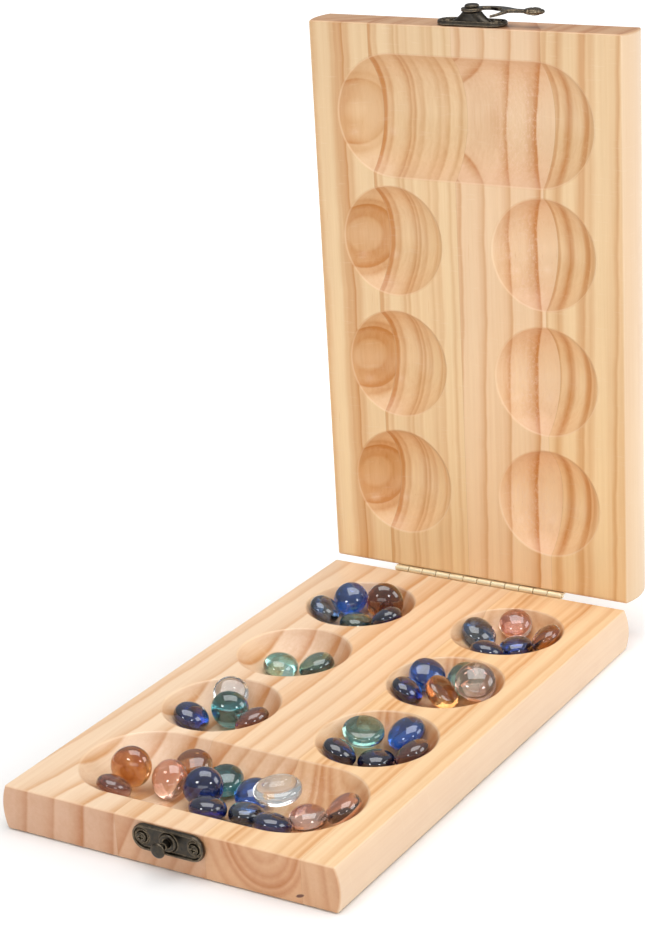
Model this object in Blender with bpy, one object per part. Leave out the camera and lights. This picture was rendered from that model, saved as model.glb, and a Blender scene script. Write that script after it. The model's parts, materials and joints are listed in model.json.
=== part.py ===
"""Folding mancala board: two pine leaves on a brass butt hinge, a bronze swing hook and glass stones.

Every length in this file is in millimetres and is turned into metres when an object is made.
The part stands as it is used on a table: the lower leaf lies flat, its underside at z = 0 and
its middle over the origin, and the upper leaf stands upright at the hinge behind it (+Y).
A leaf is described once in its own terms: x across the board, v from its hinge end towards its
free end, and w from its playing face down into the wood.
"""

import math

import bpy
import bmesh
import numpy as np
from mathutils import Matrix, Vector

MM = 0.001

# leaves
LEAF_LENGTH = 240.0
LEAF_THICKNESS = 18.0
HALF_WIDTH = 73.0  # at the fullest part of the rounded long sides
SIDE_RADIUS = 23.0
SIDE_FULL_DEPTH = 9.6  # depth below the playing face where the sides are fullest
EDGE_EASE = 1.0
HINGE_EDGE_ROUND = 1.6

# hollows
PIT_COLUMN = 35.3  # distance of each column of pits from the centre line
PIT_ROWS = (40.2, 94.3, 148.6)
PIT_RIM_RADIUS = 23.7
HOLLOW_DEPTH = 12.5
STORE_V = 201.9
STORE_HALF_STRAIGHT = 33.2
STORE_RIM_RADIUS = 25.9
RIM_EASE = 0.5

# butt hinge
LEAF_GAP = 0.5  # between the playing faces when the board is shut
AXIS_BEHIND = 1.25  # hinge axis beyond the leaf's hinge end
KNUCKLE_COUNT = 12
KNUCKLE_PITCH = 6.83
KNUCKLE_GAP = 0.4
KNUCKLE_RADIUS = 1.45
KNUCKLE_BORE = 0.95
PIN_RADIUS = 0.75
PLATE_THICKNESS = 0.8
SEAT_GAP = 0.3  # air between touching pieces
PLATE_REACH = 12.0  # how far a hinge plate runs down the leaf's end face
HINGE_SCREW_X = (-30.0, 0.0, 30.0)
HINGE_SCREW_DEPTH = 7.6

# latch
LATCH_FROM_FACE = 5.75
LATCH_X = 3.0
PLATE_HALF_STRAIGHT = 10.2
PLATE_RADIUS = 5.2
PLATE_FLOOR = 0.8
PLATE_RIM_HEIGHT = 2.2
LATCH_SCREW_X = 11.2
HOOK_BOTTOM = 5.7
HOOK_THICKNESS = 1.4
RIVET_RADIUS = 1.5

# stones
STONE_SIDES = 9
STONE_REST_GAP = 0.45
STONE_CLEARANCE = 0.2
SETTLE_STEPS = 400
SETTLE_NUDGE = 0.01

LOWER_END_Y = LEAF_LENGTH / 2
AXIS_Y = LOWER_END_Y + AXIS_BEHIND
AXIS_Z = LEAF_THICKNESS + LEAF_GAP / 2
UPPER_FACE_Y = AXIS_Y + LEAF_GAP / 2
UPPER_END_Z = AXIS_Z + AXIS_BEHIND

COLOURS = {
    "pine": (0.86, 0.62, 0.38),
    "brass": (0.86, 0.70, 0.38),
    "bronze": (0.16, 0.13, 0.10),
    "steel": (0.52, 0.50, 0.46),
    "glass_navy": (0.02, 0.04, 0.16),
    "glass_cobalt": (0.03, 0.12, 0.50),
    "glass_slate": (0.16, 0.22, 0.36),
    "glass_aqua": (0.35, 0.62, 0.62),
    "glass_teal": (0.05, 0.28, 0.28),
    "glass_green": (0.18, 0.42, 0.38),
    "glass_amber": (0.55, 0.25, 0.08),
    "glass_peach": (0.85, 0.55, 0.42),
    "glass_mauve": (0.48, 0.32, 0.32),
    "glass_clear": (0.80, 0.84, 0.82),
}

PITS = {
    "back_left": (-PIT_COLUMN, PIT_ROWS[0]),
    "middle_left": (-PIT_COLUMN, PIT_ROWS[1]),
    "front_left": (-PIT_COLUMN, PIT_ROWS[2]),
    "back_right": (PIT_COLUMN, PIT_ROWS[0]),
    "middle_right": (PIT_COLUMN, PIT_ROWS[1]),
    "front_right": (PIT_COLUMN, PIT_ROWS[2]),
    "store": (0.0, STORE_V),
}

# where the players dropped the stones: east and north of the hollow's middle, width, height,
# glass, how far above the wood, and a lean where a stone doesn't lie flat against the wood. A lean
# is how far the stone's axis tips east and north for a rise of one, and 1 with the dome or -1 with
# the flatter back on top.
STONES = {
    "back_left": (
        (-3, 1, 15, 8.0, "green", 0, None),
        (15, -1, 15, 8.0, "navy", 0, None),
        (-15, -5, 15, 8.0, "slate", 0, None),
        (-7, 7, 15.5, 8.5, "cobalt", 1, (0.3, -0.6, 1)),
        (0, 18, 15, 7.5, "mauve", 0, None),
        (8, 8, 17, 8.5, "amber", 2, (0.3, -1.0, 1)),
    ),
    "middle_left": (
        (-7, -1, 15.5, 8.5, "aqua", 0, None),
        (9, 4, 15.5, 8.5, "aqua", 0, None),
    ),
    "front_left": (
        (-10, -4, 15.5, 8.5, "navy", 0, None),
        (11, 2, 15, 7.5, "mauve", 0, None),
        (1, 4, 15.5, 8.5, "teal", 2, (0.1, -0.5, 1)),
        (-6, 17, 15, 7.0, "clear", 1, (0.5, -1.3, -1)),
    ),
    "back_right": (
        (-3, -7, 15, 8.0, "navy", 0, None),
        (-14, 0, 16, 8.5, "slate", 0, None),
        (15, 5, 14.5, 7.5, "amber", 0, None),
        (4, 3, 15, 8.0, "navy", 0, None),
        (-2, 13, 14.5, 7.5, "peach", 2, (0.6, -1.0, 1)),
    ),
    "middle_right": (
        (-3, -1, 16, 8.5, "amber", 5, (0.1, -0.3, -1)),
        (-14, -5, 14.5, 7.5, "navy", 0, None),
        (-13, 8, 15.5, 8.0, "cobalt", 1, None),
        (11, 9, 17, 8.0, "peach", 3, (-0.1, -0.9, 1)),
        (0, 13, 15, 8.0, "green", 2, None),
    ),
    "front_right": (
        (3, -3, 15, 8.0, "navy", 0, None),
        (-9, -8, 14.5, 7.5, "navy", 0, None),
        (-9, 5, 17, 8.5, "green", 4, (0.15, -0.35, -1)),
        (11, 1, 15, 7.5, "mauve", 0, None),
        (7, 12, 16.5, 8.5, "cobalt", 3, None),
    ),
    "store": (
        (-40, -13, 14, 7.0, "mauve", 0, None),
        (3, -10, 15, 8.0, "navy", 0, None),
        (13, -6, 14.5, 7.5, "slate", 0, None),
        (29, -9, 15, 7.5, "navy", 0, None),
        (37, 0, 15, 8.0, "peach", 0, None),
        (46, 3, 15, 8.0, "peach", 0, None),
        (-40, -5, 17, 9.0, "amber", 3, (0.5, -0.8, 1)),
        (-22, 13, 15.5, 8.0, "amber", 1, (0.2, -0.9, 1)),
        (-25, 1, 15.5, 8.5, "peach", 4, (0.3, -0.8, 1)),
        (-6, -3, 16, 9.0, "navy", 4, (0.2, -0.6, 1)),
        (-5, 10, 15, 7.5, "teal", 2, (1.2, -0.5, 1)),
        (9, 6, 15.5, 8.0, "cobalt", 1, None),
        (25, -1, 18.5, 8.0, "clear", 5, (0.3, -0.7, -1)),
    ),
}


def clear_scene():
    for obj in list(bpy.data.objects):
        bpy.data.objects.remove(obj, do_unlink=True)


def material(name):
    found = bpy.data.materials.get(name)
    if found:
        return found
    made = bpy.data.materials.new(name)
    made.use_nodes = True
    shader = made.node_tree.nodes["Principled BSDF"]
    shader.inputs["Base Color"].default_value = (*COLOURS[name], 1.0)
    if name in ("brass", "bronze", "steel"):
        shader.inputs["Metallic"].default_value = 1.0
        shader.inputs["Roughness"].default_value = 0.35
    elif name.startswith("glass"):
        shader.inputs["Roughness"].default_value = 0.05
    else:
        shader.inputs["Roughness"].default_value = 0.45
    return made


def new_object(name, bm):
    """A Blender object still in millimetres, with its faces turned outwards."""
    bmesh.ops.remove_doubles(bm, verts=bm.verts, dist=1e-5)
    bmesh.ops.recalc_face_normals(bm, faces=bm.faces)
    mesh = bpy.data.meshes.new(name)
    bm.to_mesh(mesh)
    bm.free()
    obj = bpy.data.objects.new(name, mesh)
    bpy.context.scene.collection.objects.link(obj)
    return obj


def cut(obj, tools, operation="DIFFERENCE"):
    """Apply each tool to the object in turn and remove the tools."""
    for tool in tools:
        step = obj.modifiers.new("step", "BOOLEAN")
        step.operation = operation
        step.solver = "EXACT"
        step.object = tool
        shape = obj.evaluated_get(bpy.context.evaluated_depsgraph_get())
        mesh = bpy.data.meshes.new_from_object(shape)
        obj.modifiers.clear()
        obj.data = mesh
        bpy.data.objects.remove(tool, do_unlink=True)


def finish(obj, slot, tidy=0.003, smooth_under=40.0):
    """Weld slivers, turn the mesh into metres, shade it and give it its material."""
    bm = bmesh.new()
    bm.from_mesh(obj.data)
    bmesh.ops.remove_doubles(bm, verts=bm.verts, dist=tidy)
    bmesh.ops.dissolve_degenerate(bm, edges=bm.edges, dist=tidy)
    bmesh.ops.scale(bm, vec=(MM, MM, MM), verts=bm.verts)
    bmesh.ops.triangulate(bm, faces=bm.faces)
    bmesh.ops.recalc_face_normals(bm, faces=bm.faces)
    bm.to_mesh(obj.data)
    bm.free()
    obj.data.materials.clear()
    obj.data.materials.append(material(slot))
    obj.data.shade_smooth()
    obj.data.set_sharp_from_angle(angle=math.radians(smooth_under))
    return obj


def axis_empty(name, place):
    """An empty on a joint's axis, for the pieces that the joint moves."""
    axis = bpy.data.objects.new(name, None)
    axis.location = Vector(place) * MM
    axis.empty_display_size = 5 * MM
    bpy.context.scene.collection.objects.link(axis)
    return axis


def hang(obj, axis):
    """Hang a piece on a joint's empty and leave it where it is."""
    place = axis.location
    holder = axis.parent
    while holder:
        place = place + holder.location
        holder = holder.parent
    obj.parent = axis
    obj.matrix_parent_inverse = Matrix.Translation(-place)


def loft(name, rings):
    """A closed body through rings of equally many points, capped at both ends."""
    bm = bmesh.new()
    loops = [[bm.verts.new(point) for point in ring] for ring in rings]
    count = len(loops[0])
    for low, high in zip(loops, loops[1:]):
        for i in range(count):
            j = (i + 1) % count
            bm.faces.new((low[i], low[j], high[j], high[i]))
    bm.faces.new(loops[0])
    bm.faces.new(loops[-1])
    return new_object(name, bm)


def lathe(name, profile, sides, place):
    """A closed body turned about w: profile is (radius, w) from one end to the other.

    place turns a point given in (x, y, w) about the turning axis into a point in the part.
    """
    bm = bmesh.new()
    loops = []
    for radius, w in profile:
        if radius == 0:
            loops.append([bm.verts.new(place(0.0, 0.0, w))])
            continue
        turn = [2 * math.pi * i / sides for i in range(sides)]
        loops.append([bm.verts.new(place(radius * math.cos(a), radius * math.sin(a), w)) for a in turn])
    for low, high in zip(loops, loops[1:]):
        for i in range(sides):
            j = (i + 1) % sides
            if len(low) == 1:
                bm.faces.new((low[0], high[j], high[i]))
            elif len(high) == 1:
                bm.faces.new((low[i], low[j], high[0]))
            else:
                bm.faces.new((low[i], low[j], high[j], high[i]))
    for loop in (loops[0], loops[-1]):
        if len(loop) > 1:
            bm.faces.new(loop)
    return new_object(name, bm)


def lower_leaf(x, v, w):
    return Vector((x, LOWER_END_Y - v, LEAF_THICKNESS - w))


def upper_leaf(x, v, w):
    return Vector((x, UPPER_FACE_Y + w, UPPER_END_Z + v))


def leaf_section(inset):
    """The leaf's cross-section as (x, w), with its long edges eased, pulled in by inset."""
    half = []
    steps = 6
    for i in range(steps + 1):
        w = EDGE_EASE * 0.8 + (LEAF_THICKNESS - EDGE_EASE * 1.6) * i / steps
        drop = SIDE_RADIUS - math.sqrt(SIDE_RADIUS**2 - (w - SIDE_FULL_DEPTH) ** 2)
        half.append((HALF_WIDTH - drop - inset, w))
    top = (half[0][0] - EDGE_EASE, 0.0)
    bottom = (half[-1][0] - EDGE_EASE, LEAF_THICKNESS)
    half = [top] + half + [bottom]
    points = [(x, min(max(w, inset), LEAF_THICKNESS - inset)) for x, w in half]
    return points + [(-x, w) for x, w in reversed(points)]


def stadium(half_straight, radius, w, arc_steps):
    """Points round a slot-shaped outline that runs along x."""
    points = []
    for side in (1, -1):
        for i in range(arc_steps + 1):
            angle = side * math.pi / 2 - math.pi * i / arc_steps
            points.append((side * half_straight + radius * math.cos(angle), radius * math.sin(angle), w))
    return points


def hollow_profile(rim_radius):
    """(radius, depth) from above the playing face to the bottom of a round-bottomed hollow."""
    ball = (rim_radius**2 + HOLLOW_DEPTH**2) / (2 * HOLLOW_DEPTH)
    rim_angle = math.asin(rim_radius / ball)
    profile = [(rim_radius + RIM_EASE, -2.0), (rim_radius + RIM_EASE, 0.0)]
    for i in range(6):
        angle = rim_angle * (0.965 - 0.965 * i / 6)
        profile.append((ball * math.sin(angle), ball * math.cos(angle) - ball + HOLLOW_DEPTH))
    return profile


def make_leaf(name, leaf):
    stations = [(0.0, HINGE_EDGE_ROUND * 0.62), (HINGE_EDGE_ROUND * 0.35, HINGE_EDGE_ROUND * 0.2)]
    stations += [(HINGE_EDGE_ROUND, 0.0), (LEAF_LENGTH - EDGE_EASE, 0.0), (LEAF_LENGTH, EDGE_EASE)]
    board = loft(name, [[leaf(x, v, w) for x, w in leaf_section(inset)] for v, inset in stations])
    tools = []
    for x, v in PITS.values():
        if v == STORE_V:
            continue
        profile = hollow_profile(PIT_RIM_RADIUS) + [(0, HOLLOW_DEPTH)]
        tools.append(lathe("pit", profile, 26, lambda a, b, w, x=x, v=v: leaf(x + a, v + b, w)))
    rings = []
    for radius, w in hollow_profile(STORE_RIM_RADIUS) + [(0.6, HOLLOW_DEPTH)]:
        rings.append([leaf(x, STORE_V + b, w) for x, b, w in stadium(STORE_HALF_STRAIGHT, radius, w, 12)])
    tools.append(loft("store", rings))
    for x in HINGE_SCREW_X:
        place = lambda a, b, w, x=x: leaf(x + a, w, HINGE_SCREW_DEPTH + b)
        tools.append(lathe("pilot", [(1.3, -1.0), (1.3, 10.0)], 8, place))
    for x in (-LATCH_SCREW_X, LATCH_SCREW_X):
        place = lambda a, b, w, x=x: leaf(LATCH_X + x + a, LEAF_LENGTH - w, LATCH_FROM_FACE + b)
        tools.append(lathe("pilot", [(1.4, -1.0), (1.4, 10.5)], 8, place))
    cut(board, tools)
    return finish(board, "pine")


def hinge_plate(name, leaf, first):
    """One hinge plate with every second knuckle rolled onto its edge."""
    length = KNUCKLE_COUNT * KNUCKLE_PITCH
    start = -length / 2
    w_axis = -LEAF_GAP / 2
    inner, outer = SEAT_GAP, SEAT_GAP + PLATE_THICKNESS
    w_top = w_axis + KNUCKLE_RADIUS + 0.45

    def block(tag, x0, x1, w0, w1):
        corners = [(w0, -inner), (w1, -inner), (w1, -outer), (w0, -outer)]
        return loft(tag, [[leaf(x, v, w) for w, v in corners] for x in (x0, x1)])

    plate = block(name, start, -start, w_top, PLATE_REACH)
    parts, bores = [], []
    for i in range(first, KNUCKLE_COUNT, 2):
        x0 = start + i * KNUCKLE_PITCH + KNUCKLE_GAP / 2
        x1 = x0 + KNUCKLE_PITCH - KNUCKLE_GAP
        place = lambda a, b, w, x0=x0: leaf(x0 + w, -AXIS_BEHIND + a, w_axis + b)
        parts.append(block("tab", x0, x1, w_axis + 1.05, w_top + 0.3))
        parts.append(lathe("knuckle", [(KNUCKLE_RADIUS, 0.0), (KNUCKLE_RADIUS, x1 - x0)], 14, place))
        bores.append(lathe("bore", [(KNUCKLE_BORE, -0.1), (KNUCKLE_BORE, x1 - x0 + 0.1)], 10, place))
    cut(plate, parts, "UNION")
    for x in HINGE_SCREW_X:
        place = lambda a, b, w, x=x: leaf(x + a, w, HINGE_SCREW_DEPTH + b)
        sink = [(2.4, -outer - 0.1), (2.3, -outer), (1.5, -inner), (1.5, -inner + 0.2)]
        bores.append(lathe("sink", sink, 12, place))
    cut(plate, bores)
    return finish(plate, "brass")


def cross_recess(place, top, reach):
    """Two crossed tapering blades, the shape a driver leaves in a screw's head."""
    blades = []
    for along in (0, 1):
        rings = []
        for w, size, half in ((-0.3, reach * 1.1, 0.32), (0.75, reach * 0.45, 0.2)):
            ring = [(-size, -half), (size, -half), (size, half), (-size, half)]
            if along:
                ring = [(b, a) for a, b in ring]
            rings.append([place(a, b, top + w) for a, b in ring])
        blades.append(loft("blade", rings))
    return blades


def make_screw(name, profile, place, slot, top, reach):
    """Screw turned from its profile, with a cross recess; place's third axis runs into the wood."""
    screw = lathe(name, profile, 12, place)
    cut(screw, cross_recess(place, top, reach))
    return finish(screw, slot)


def on_end(leaf, x0, w0):
    """Places points of the latch: a across, b away from the playing face, h out from the end."""
    return lambda a, b, h: leaf(x0 + a, LEAF_LENGTH + h, w0 + b)


def latch_plate(name, end, boss):
    """Oblong stamped plate with a raised rim, two screw holes and a boss round its middle hole."""
    low = SEAT_GAP
    floor = low + PLATE_FLOOR
    levels = ((0.3, low), (0.0, low + 0.3), (0.1, 1.7), (0.45, PLATE_RIM_HEIGHT))
    levels += ((0.9, PLATE_RIM_HEIGHT - 0.1), (1.2, floor))
    rings = []
    for inset, h in levels:
        outline = stadium(PLATE_HALF_STRAIGHT, PLATE_RADIUS - inset, h, 7)
        rings.append([end(x, b, z) for x, b, z in outline])
    plate = loft(name, rings)
    sides = 18
    turn = [2 * math.pi * i / sides for i in range(sides)]
    body = loft("boss", [[end(p * math.cos(t), q * math.sin(t), h) for t in turn] for p, q, h in boss])
    cut(plate, [body], "UNION")
    tools = [lathe("bore", [(RIVET_RADIUS + 0.2, -0.2), (RIVET_RADIUS + 0.2, 7.0)], 12, end)]
    for x in (-LATCH_SCREW_X, LATCH_SCREW_X):
        place = lambda a, b, h, x=x: end(x + a, b, h)
        tools.append(lathe("hole", [(1.4, low - 0.2), (1.4, floor - 0.4), (2.1, floor + 0.3)], 12, place))
    cut(plate, tools)
    return finish(plate, "bronze")


def extrude(name, outline, low, high, place):
    return loft(name, [[place(x, y, h) for x, y in outline] for h in (low, high)])


def swing_hook(name, end):
    """Hook with its arm along +x: eye, bowed bar, slot for the peg, horn, tail and finger knob."""
    low = HOOK_BOTTOM
    high = HOOK_BOTTOM + HOOK_THICKNESS
    bar = [(1.0, 4.1), (4.0, 5.4), (7.0, 6.0), (10.0, 5.9), (13.0, 5.1), (16.0, 3.7), (18.5, 2.1)]
    bar += [(20.2, 1.5), (24.8, 1.3), (24.8, -0.9), (20.2, -1.0), (18.9, -1.3), (17.6, -2.2)]
    bar += [(14.2, -2.2), (13.7, -1.2), (13.5, 0.0), (13.1, 1.1), (12.0, 1.55), (10.9, 1.7)]
    bar += [(9.2, 2.6), (7.0, 3.4), (4.6, 2.9), (2.5, 1.0)]
    hook = extrude(name, bar, low, high, end)
    eye = lathe("eye", [(4.2, low), (4.45, low + 0.25), (4.45, high - 0.25), (4.2, high)], 20, end)
    horn_path = [(15.9, -1.2, 1.7, 0.0), (15.9, -3.2, 1.35, -0.2), (14.95, -5.3, 0.95, -0.6)]
    horn_path += [(13.5, -6.9, 0.6, -1.0), (12.0, -7.9, 0.3, -1.3)]
    rings = []
    for x, y, half, drop in horn_path:
        along = Vector((x - 12.0, y + 1.0)).normalized()
        inner = Vector((x, y)) - along * half
        outer = Vector((x, y)) + along * half
        edge = 0.15
        ring = [(inner, low + edge), (outer, low + edge), (outer, high - edge), (inner, high - edge)]
        rings.append([end(p.x, p.y, h + drop) for p, h in ring])
    horn = loft("horn", rings)
    stations = [(23.9, 1.2, 0.8), (24.7, 2.4, 1.2), (26.4, 3.1, 1.5), (29.4, 3.2, 1.5), (31.4, 2.4, 1.2)]
    stations += [(32.3, 1.2, 0.7)]
    turn = [2 * math.pi * (i + 0.5) / 12 for i in range(12)]
    middle = (low + high) / 2 + 0.1
    rings = []
    for x, half, tall in stations:
        rings.append([end(x, half * math.cos(t) + 0.2, middle + tall * math.sin(t)) for t in turn])
    knob = loft("knob", rings)
    cut(hook, [eye, horn, knob], "UNION")
    cut(hook, [lathe("bore", [(RIVET_RADIUS + 0.2, low - 1), (RIVET_RADIUS + 0.2, high + 1)], 14, end)])
    return finish(hook, "bronze")


def headed_pin(name, end, shank, neck):
    """Rivet or peg: a shank held in the plate, a neck and a domed head."""
    profile = [(0, 0.5), (shank, 0.5), (shank, 4.5), (neck, 4.7), (neck, 7.35), (2.8, 7.35), (3.0, 7.7)]
    profile += [(2.7, 8.35), (1.6, 8.7), (0, 8.8)]
    return finish(lathe(name, profile, 16, end), "bronze")


def stone_profile(height):
    """(share of half width, height above the middle) from the flatter back to the domed front."""
    girdle, top = -0.1 * height, 0.5 * height
    points = [(0.0, -top), (0.76, -0.86 * top), (1.0, girdle), (0.84, 0.5 * top), (0.45, 0.88 * top)]
    return points + [(0.0, top)]


def stone_balls(height, half):
    """Balls that fill a stone, as places in the stone's own frame; they all share one radius."""
    ring = half - 0.5 * height
    turns = [2 * math.pi * i / 8 for i in range(8)]
    return np.array([(0.0, 0.0, 0.0)] + [(ring * math.cos(t), ring * math.sin(t), 0.0) for t in turns])


def best_turn(moved, still):
    """The rotation that best carries the still places, centred on zero, onto the moved ones."""
    left, _, right = np.linalg.svd(moved.T @ still)
    if np.linalg.det(left @ right) < 0:
        left[:, -1] *= -1
    return left @ right


def settle(stones, hollow_x, hollow_y, rim_radius, half_straight):
    """Lay the stones of one hollow where the players dropped them, then ease them down and apart.

    Each stone starts where its row in the table puts it. The stones are then nudged down in small
    steps, pushed out of each other and out of the wood, and kept rigid. The hollow of the other
    leaf bounds them too, so that the board shuts over them.
    """
    ball = (rim_radius**2 + HOLLOW_DEPTH**2) / (2 * HOLLOW_DEPTH)
    ball_z = LEAF_THICKNESS - HOLLOW_DEPTH + ball
    still, places, radii, owner = [], [], [], []
    for number, (east, north, width, height, _, lift, lean) in enumerate(stones):
        spine = min(max(east, -half_straight), half_straight)
        reach = ball - 0.5 * height - STONE_REST_GAP
        drop = math.sqrt(reach**2 - (east - spine) ** 2 - north**2)
        centre = np.array((east, north, -drop))
        up = np.array((lean[0], lean[1], 1.0)) if lean else np.array((spine, 0.0, 0.0)) - centre
        up /= np.linalg.norm(up)
        across = np.cross((0.0, 1.0, 0.0), up)
        across /= np.linalg.norm(across)
        frame = np.column_stack((across, np.cross(up, across), up))
        local = stone_balls(height, width / 2)
        still.append(local)
        places.append(centre + (0, 0, lift) + local @ frame.T)
        radii += [0.5 * height] * len(local)
        owner += [number] * len(local)
    count = len(still[0])
    places, radii, owner = np.vstack(places), np.array(radii), np.array(owner)
    apart = radii[:, None] + radii[None, :] + STONE_CLEARANCE
    others = owner[:, None] != owner[None, :]
    for step in range(SETTLE_STEPS):
        if step < SETTLE_STEPS * 0.8:
            places[:, 2] -= SETTLE_NUDGE
        gaps = places[:, None, :] - places[None, :, :]
        lengths = np.linalg.norm(gaps, axis=2) + 1e-9
        push = np.where(others & (lengths < apart), (apart - lengths) / lengths, 0.0)
        pushes = np.maximum(1, (push > 0).sum(axis=1))[:, None]
        places += 0.35 * (push[:, :, None] * gaps).sum(axis=1) / pushes
        spines = np.clip(places[:, 0], -half_straight, half_straight)
        for roof in (0.0, 2 * (HOLLOW_DEPTH - ball) + LEAF_GAP):
            spine_points = np.column_stack((spines, 0 * spines, 0 * spines + roof))
            outward = places - spine_points
            far = np.linalg.norm(outward, axis=1)
            limit = ball - radii - STONE_REST_GAP
            below = far > limit
            places[below] = spine_points[below] + outward[below] * (limit / far)[below, None]
        for number in range(len(stones)):
            rows = slice(number * count, number * count + count)
            middle = places[rows].mean(axis=0)
            places[rows] = middle + still[number] @ best_turn(places[rows] - middle, still[number]).T
    laid = []
    for number, (_, _, width, height, glass, _, lean) in enumerate(stones):
        moved = places[number * count : number * count + count]
        middle = moved.mean(axis=0)
        frame = best_turn(moved - middle, still[number])
        if lean and lean[2] < 0:
            frame = frame @ np.diag((1.0, -1.0, -1.0))
        laid.append((middle + (hollow_x, hollow_y, ball_z), frame, width / 2, height, glass))
    return laid


def make_stones():
    for pit, stones in STONES.items():
        x, v = PITS[pit]
        hand = axis_empty(f"{pit}_lift", lower_leaf(x, v, HOLLOW_DEPTH))
        rim = STORE_RIM_RADIUS if pit == "store" else PIT_RIM_RADIUS
        straight = STORE_HALF_STRAIGHT if pit == "store" else 0.0
        for number, laid in enumerate(settle(stones, x, LOWER_END_Y - v, rim, straight), 1):
            centre, frame, half, height, glass = laid
            profile = [(share * half, up) for share, up in stone_profile(height)]
            place = lambda a, b, w, c=centre, f=frame: Vector(c + f @ np.array((a, b, w)))
            stone = lathe(f"stone_{pit}_{number:02d}", profile, STONE_SIDES, place)
            hang(finish(stone, f"glass_{glass}", smooth_under=75.0), hand)


def make_hinge(lid):
    hinge_plate("hinge_plate_lower", lower_leaf, 0)
    hang(hinge_plate("hinge_plate_upper", upper_leaf, 1), lid)
    half_pin = KNUCKLE_COUNT * KNUCKLE_PITCH / 2 + 0.3
    place = lambda a, b, w: Vector((w, AXIS_Y + a, AXIS_Z + b))
    pin = lathe("hinge_pin", [(PIN_RADIUS, -half_pin), (PIN_RADIUS, half_pin)], 10, place)
    finish(pin, "brass")
    head = -SEAT_GAP - PLATE_THICKNESS + 0.08
    profile = [(0, head), (2.05, head), (1.0, head + 0.75), (1.0, 7.5), (0, 9.0)]
    for side, leaf in (("lower", lower_leaf), ("upper", upper_leaf)):
        for number, x in enumerate(HINGE_SCREW_X, 1):
            place = lambda a, b, w, x=x, leaf=leaf: leaf(x + a, w, HINGE_SCREW_DEPTH + b)
            screw = make_screw(f"hinge_screw_{side}_{number}", profile, place, "brass", head, 1.5)
            if side == "upper":
                hang(screw, lid)


def make_latch(lid):
    hook_end = on_end(upper_leaf, LATCH_X, LATCH_FROM_FACE)
    catch_end = on_end(lower_leaf, LATCH_X, LATCH_FROM_FACE)
    cone = [(9.0, 4.1, 0.6), (8.6, 3.9, 1.6), (6.2, 3.9, 3.3), (4.4, 3.8, 5.0), (4.1, 3.6, 5.35)]
    hang(latch_plate("hook_plate", hook_end, cone), lid)
    latch_plate("catch_plate", catch_end, [(4.1, 3.7, 0.6), (3.6, 3.5, 1.9), (3.2, 3.2, 2.4)])
    pivot = axis_empty("hook_axis", hook_end(0.0, 0.0, HOOK_BOTTOM) - lid.location / MM)
    pivot.parent = lid
    hang(swing_hook("swing_hook", hook_end), pivot)
    hang(headed_pin("hook_rivet", hook_end, RIVET_RADIUS, RIVET_RADIUS), lid)
    headed_pin("catch_peg", catch_end, RIVET_RADIUS, 1.3)
    profile = [(0, -2.7), (1.1, -2.6), (1.9, -2.1), (2.0, -1.6), (1.1, -0.85), (1.1, 7.5), (0, 9.5)]
    for side, end in (("hook", hook_end), ("catch", catch_end)):
        for number, x in enumerate((-LATCH_SCREW_X, LATCH_SCREW_X), 1):
            place = lambda a, b, w, x=x, end=end: end(x + a, b, -w)
            screw = make_screw(f"{side}_screw_{number}", profile, place, "steel", -2.7, 1.4)
            if side == "hook":
                hang(screw, lid)


def build():
    clear_scene()
    lid = axis_empty("lid_axis", (0.0, AXIS_Y, AXIS_Z))
    make_leaf("lower_board", lower_leaf)
    hang(make_leaf("upper_board", upper_leaf), lid)
    make_hinge(lid)
    make_latch(lid)
    make_stones()


build()
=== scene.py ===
"""Looks of the folding mancala board: pine leaves, brass hinge, bronze latch and glass stones.

Lengths are in millimetres and turned into metres when a piece is made. A leaf is described once
in its own terms: x across the board, v from its hinge end, and w from its playing face down.
"""

import json
import math

import bmesh
import bpy
import numpy as np
from mathutils import Matrix, Vector


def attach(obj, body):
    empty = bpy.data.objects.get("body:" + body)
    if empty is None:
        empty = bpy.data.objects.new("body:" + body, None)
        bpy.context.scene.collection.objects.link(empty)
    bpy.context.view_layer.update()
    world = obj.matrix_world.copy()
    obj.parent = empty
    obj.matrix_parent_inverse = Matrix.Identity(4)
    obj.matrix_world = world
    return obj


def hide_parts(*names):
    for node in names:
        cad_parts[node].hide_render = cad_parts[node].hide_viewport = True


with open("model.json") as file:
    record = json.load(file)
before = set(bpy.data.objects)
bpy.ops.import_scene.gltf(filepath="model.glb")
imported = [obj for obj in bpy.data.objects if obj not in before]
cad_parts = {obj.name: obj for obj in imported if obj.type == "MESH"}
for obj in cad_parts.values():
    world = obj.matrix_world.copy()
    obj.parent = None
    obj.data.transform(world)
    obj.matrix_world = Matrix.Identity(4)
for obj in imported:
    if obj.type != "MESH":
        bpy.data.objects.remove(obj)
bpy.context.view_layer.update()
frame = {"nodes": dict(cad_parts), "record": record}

MM = 0.001

LEAF_LENGTH = 240.0
LEAF_THICKNESS = 18.0
HALF_WIDTH = 73.0
SIDE_RADIUS = 23.0
SIDE_FULL_DEPTH = 9.6
EDGE_EASE = 1.0
HINGE_EDGE_ROUND = 1.6

PIT_COLUMN = 35.3
PIT_ROWS = (40.2, 94.3, 148.6)
PIT_RIM_RADIUS = 23.7
HOLLOW_DEPTH = 12.5
STORE_V = 201.9
STORE_HALF_STRAIGHT = 33.2
STORE_RIM_RADIUS = 25.9
RIM_EASE = 0.5
HOLLOW_RINGS = 18

LEAF_GAP = 0.5
AXIS_BEHIND = 1.25
KNUCKLE_COUNT = 12
KNUCKLE_PITCH = 6.83
KNUCKLE_GAP = 0.4
KNUCKLE_RADIUS = 1.45
KNUCKLE_BORE = 0.95
PIN_RADIUS = 0.75
PLATE_THICKNESS = 0.8
SEAT_GAP = 0.3
PLATE_REACH = 12.0
HINGE_SCREW_X = (-30.0, 0.0, 30.0)
HINGE_SCREW_DEPTH = 7.6

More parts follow.
